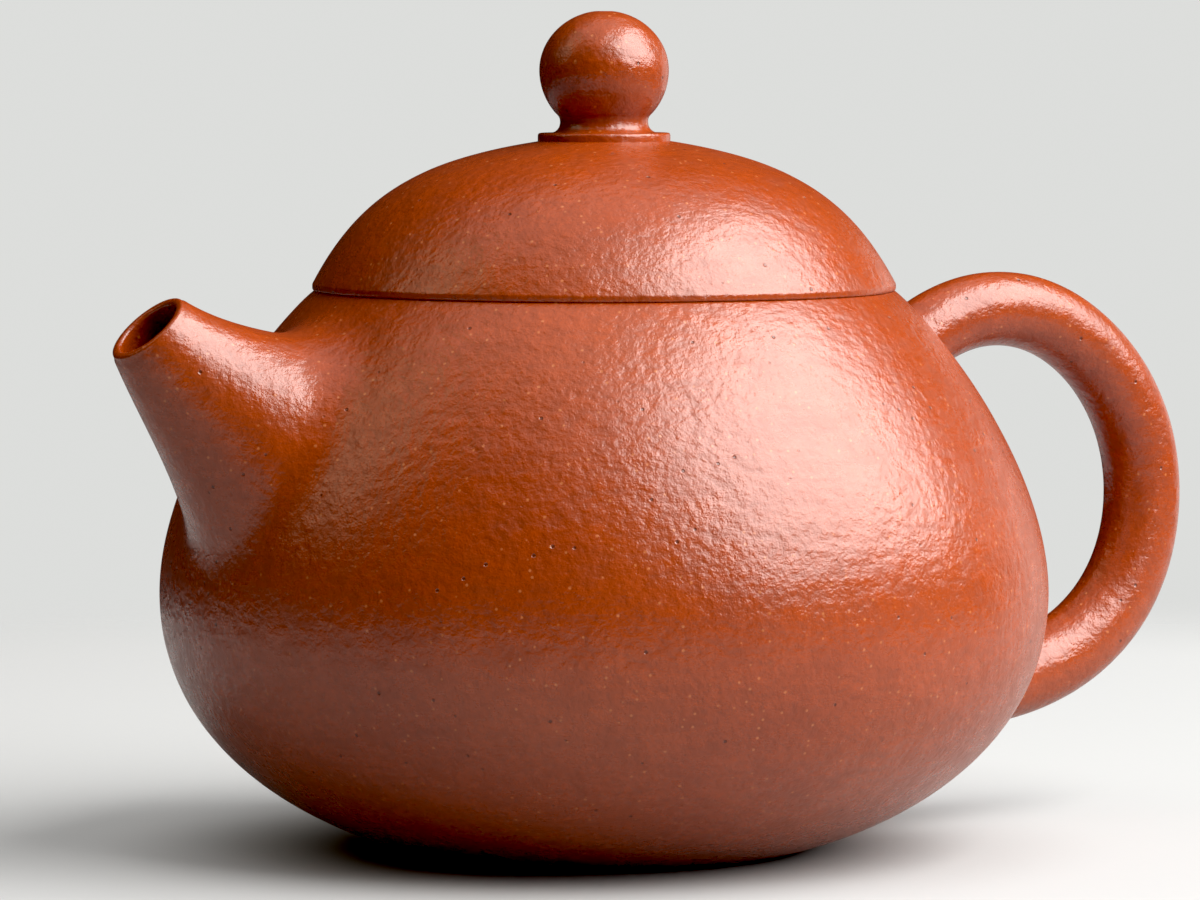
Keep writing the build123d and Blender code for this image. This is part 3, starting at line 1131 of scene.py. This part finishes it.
@dataclass
class Knob:
    """Flattened ball on a short neck, standing on a thin collar, with the air hole down its middle."""

    collar_bottom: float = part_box("knob_collar")[0].z
    collar_top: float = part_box("knob_collar")[1].z
    collar_radius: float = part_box("knob_collar")[1].y
    radius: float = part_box("knob")[1].y
    collar_softness: float = 0.3 * MM
    neck_radius: float = 4.15 * MM
    neck_flare: float = 0.95 * MM
    widest_rise: float = 5.9 * MM
    crown_height: float = 5.6 * MM
    throat_softness: float = 0.8 * MM
    hole_radius: float = 0.6 * MM
    hole_softness: float = 0.2 * MM
    segments: int = 160

    def collar(self) -> Piece:
        """The thin disc between the dome and the neck.

        Returns:
            The collar's piece.
        """
        low, high, rim, hole = self.collar_bottom, self.collar_top, self.collar_radius, self.hole_radius
        profile = [(hole, low), (rim, low)]
        profile += soften((rim, low), (rim, high), (hole, high), self.collar_softness, 4)
        profile += [(hole, high)]
        return thrown("knob_collar_disc", profile, self.segments, "knob_collar")

    def ball(self) -> Piece:
        """The knob itself.

        Returns:
            The knob's piece.
        """
        base, widest = self.collar_top, self.collar_top + self.widest_rise
        throat = widest - math.sqrt(self.radius ** 2 - self.neck_radius ** 2)
        lean = -math.degrees(math.acos(self.neck_radius / self.radius))
        under = arc((0.0, widest), (self.radius, self.radius), lean, 0.0, 30)
        over = arc((0.0, widest), (self.radius, self.crown_height), 0.0, 90.0, 48)
        over = [place for place in over if place[0] > self.hole_radius + 2 * self.hole_softness]
        brink = (self.hole_radius, widest + self.crown_height * math.sqrt(1 - (self.hole_radius / self.radius) ** 2))
        flare = arc((self.neck_radius + self.neck_flare, base + self.neck_flare), (self.neck_flare, self.neck_flare),
                    -90.0, -180.0, 6)
        throat_corner = (self.neck_radius, throat)
        profile = [(self.hole_radius, base), *flare]
        profile += soften(flare[-1], throat_corner, under[4], self.throat_softness, 6)
        profile += under[4:-1] + over
        profile += soften(over[-1], brink, (self.hole_radius, base), self.hole_softness, 6)
        return thrown("knob_ball", profile, self.segments, "knob")


# ---------------------------------------------------------------- studio


def aim(made: bpy.types.Object, place: Vector, target: Vector) -> None:
    """Add a lamp or a camera to the scene.

    Args:
        made: the lamp or the camera.
        place: where it stands.
        target: the point it is turned to.
    """
    made.location = place
    made.rotation_mode = "QUATERNION"
    made.rotation_quaternion = (target - place).to_track_quat("-Z", "Y")
    bpy.context.scene.collection.objects.link(made)


@dataclass(frozen=True)
class Softbox:
    """A rectangular lamp that looks at the teapot."""

    name: str
    azimuth: float
    elevation: float
    distance: float
    width: float
    height: float
    power: float
    tint: Colour = (1.0, 1.0, 1.0)

    def hang(self, target: Vector) -> None:
        """Put the lamp in its place.

        Args:
            target: the point it is turned to.
        """
        turn, rise = math.radians(self.azimuth), math.radians(self.elevation)
        way = Vector((math.sin(turn) * math.cos(rise), -math.cos(turn) * math.cos(rise), math.sin(rise)))
        lamp = bpy.data.lights.new(self.name, "AREA")
        lamp.shape = "RECTANGLE"
        lamp.size, lamp.size_y = self.width, self.height
        lamp.energy, lamp.color = self.power, self.tint
        aim(bpy.data.objects.new(self.name, lamp), target + way * self.distance, target)


@dataclass
class Studio:
    """Pale table top that fades into a grey room, with soft window light from the right and painted light on the
    table that lifts its shadows for the camera.
    """

    table_radius: float = 0.62
    fade: tuple[float, float] = (0.185, 0.270)
    table_tone: Colour = linear(166, 167, 167)
    # painted light: emission on the table, seen only by the camera, that lifts its shadows; it rises from nothing at
    # 24 mm out to full at 50 mm, so the contact shadow by the pot stays dark
    table_painted_light: float = 0.22
    painted_light_span: tuple[float, float] = (0.024, 0.050)
    painted_light_tone: Colour = (1.0, 1.0, 0.99)
    table_roughness: float = 0.62
    table_sheen: float = 0.25
    table_waves: float = 900.0
    table_darkest: float = 0.985
    table_rings: tuple[float, ...] = (0.0, 0.1, 0.3, 0.6, 1.0)
    table_segments: int = 128
    room_tone: Colour = linear(221, 222, 220)
    room_light: Colour = (0.02, 0.02, 0.021)
    camera_azimuth: float = -30.0
    camera_distance: float = 0.600
    camera_height: float = 0.0782
    camera_pitch: float = 3.882
    camera_aside: float = 0.38 * MM
    lens: float = 191.2
    sensor: float = 36.0
    black_level: float = 0.010
    lamps: tuple[Softbox, ...] = (
        Softbox("window_key", 42.0, 43.0, 0.80, 1.02, 0.80, 21.5, (1.0, 0.985, 0.965)),
        Softbox("window_left", -114.0, 40.0, 0.90, 0.34, 0.50, 0.75, (1.0, 0.92, 0.66)),
        Softbox("ceiling", 0.0, 86.0, 0.90, 1.10, 1.10, 3.2, (1.0, 1.0, 1.0)),
        Softbox("wall_right", 112.0, 2.0, 0.70, 0.50, 0.30, 0.45, (1.0, 0.97, 0.93)),
    )

    def table(self) -> None:
        """Lay the table top, which fades out into the room, with painted light that only the camera sees lifting its
        shadows away from the pot.
        """
        mesh = ClayMesh("table_top", work=None)
        mesh.turn([(self.table_radius * s, 0.0) for s in self.table_rings], self.table_segments, closed=False)
        top = mesh.finish()
        bench = NodeBench("table_paint")
        away = bench.add("ShaderNodeVectorMath", {0: bench.place}, operation="LENGTH").outputs["Value"]
        share = bench.ease(away, self.fade)
        grain = bench.span(bench.noise(self.table_waves), 0.3, 0.7, self.table_darkest, 1.0)
        tone = bench.mix(1.0, self.table_tone, bench.grey(grain), "MULTIPLY")
        seen = bench.add("ShaderNodeLightPath").outputs["Is Camera Ray"]
        # painted light: camera-only emission that brightens the table's shadows outside the pot's contact shadow
        painted_light = bench.math("MULTIPLY", bench.ease(away, self.painted_light_span, self.table_painted_light), seen)
        paint = bench.add("ShaderNodeBsdfPrincipled", {
            "Base Color": tone, "Roughness": self.table_roughness, "Specular IOR Level": self.table_sheen,
            "Emission Color": (*self.painted_light_tone, 1.0), "Emission Strength": painted_light})
        clear = bench.add("ShaderNodeBsdfTransparent")
        both = bench.add("ShaderNodeMixShader", {0: share, 1: paint.outputs["BSDF"], 2: clear.outputs[0]})
        bench.tree.links.new(both.outputs[0], bench.output.inputs["Surface"])
        top.data.materials.append(bench.material)

    def room(self) -> None:
        """Fill the room with a pale tone that gives little light of its own."""
        world = bpy.data.worlds.new("room")
        bpy.context.scene.world = world
        world.use_nodes = True
        tree = world.node_tree
        tree.nodes.clear()
        path = tree.nodes.new("ShaderNodeLightPath")
        seen, cast = tree.nodes.new("ShaderNodeBackground"), tree.nodes.new("ShaderNodeBackground")
        seen.inputs["Color"].default_value = (*self.room_tone, 1.0)
        cast.inputs["Color"].default_value = (*self.room_light, 1.0)
        mix, output = tree.nodes.new("ShaderNodeMixShader"), tree.nodes.new("ShaderNodeOutputWorld")
        tree.links.new(path.outputs["Is Camera Ray"], mix.inputs[0])
        tree.links.new(cast.outputs[0], mix.inputs[1])
        tree.links.new(seen.outputs[0], mix.inputs[2])
        tree.links.new(mix.outputs[0], output.inputs["Surface"])

    def camera(self) -> None:
        """Set up the camera, level with the lid and looking slightly down."""
        turn = math.radians(self.camera_azimuth)
        back = Vector((math.sin(turn), -math.cos(turn), 0.0))
        right = Vector((math.cos(turn), math.sin(turn), 0.0))
        lens = bpy.data.cameras.new("camera")
        lens.lens, lens.sensor_width = self.lens, self.sensor
        lens.clip_start, lens.clip_end = 0.02, 20.0
        made = bpy.data.objects.new("camera", lens)
        place = back * self.camera_distance + Vector((0.0, 0.0, self.camera_height))
        fall = self.camera_distance * math.tan(math.radians(self.camera_pitch))
        target = Vector((0.0, 0.0, self.camera_height - fall)) - right * self.camera_aside
        aim(made, place, target)
        bpy.context.scene.camera = made

    def light(self, target: Vector) -> None:
        """Hang the lamps, all turned to one point."""
        for lamp in self.lamps:
            lamp.hang(target)

    def set_up(self) -> None:
        """Make the table, the room, the camera and the light."""
        scene = bpy.context.scene
        scene.view_settings.view_transform = "Standard"
        scene.view_settings.look = "None"
        scene.view_settings.use_curve_mapping = True
        scene.view_settings.curve_mapping.black_level = (self.black_level,) * 3
        scene.view_settings.curve_mapping.update()
        low, high = CAD_BOX
        self.table()
        self.room()
        self.camera()
        self.light((low + high) / 2)
        LOG.info("studio is set up with %d lamps", len(self.lamps))


def main() -> None:
    """Build, dress and place every piece, then the studio round them."""
    logging.basicConfig(level=logging.INFO, format="%(name)s: %(message)s")
    clays = Finishes.fire()
    pot = PotShell()
    spout = Spout(pot)
    lid = Lid()
    knob = Knob()
    pot.build(spout.channel()).settle(clays.pot)
    spout.build().settle(clays.pot)
    Handle(pot).build().settle(clays.pot)
    Strainer().dress(clays.inside)
    for piece in (lid.dome(), lid.seat(), lid.flange(), knob.collar(), knob.ball()):
        piece.settle(clays.lid)
    Studio().set_up()


if __name__ == "__main__":
    main()
